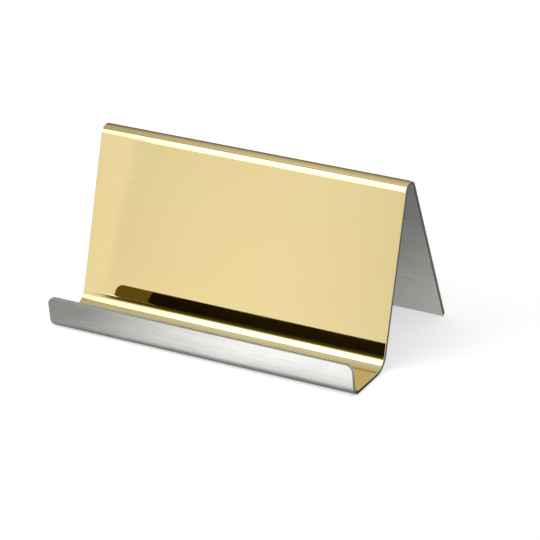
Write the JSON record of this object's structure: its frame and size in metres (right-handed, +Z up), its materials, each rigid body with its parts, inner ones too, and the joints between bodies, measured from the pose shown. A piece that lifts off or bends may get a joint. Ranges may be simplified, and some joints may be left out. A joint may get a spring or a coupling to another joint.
{
  "type": "business card holder stand",
  "caption": "Folded sheet-metal desk stand for business cards, with a low front lip, tray floor, leaning card panel and rear leg; gold mirror face, brushed steel back.",
  "frame": {"origin": "on the table, under the middle of the stand's width and depth", "axes": "+X to the right along the width, +Y from the front lip to the rear leg, +Z up from the table"},
  "size_m": [0.09, 0.05, 0.045],
  "materials": {
    "brushed_steel": "brushed along the width, with ground edges",
    "gold_mirror": "mirror-polished gold colour coating"
  },
  "bodies": {
    "root": {"folded_steel_sheet": "brushed_steel", "gold_mirror_face": "gold_mirror"}
  },
  "joints": []
}
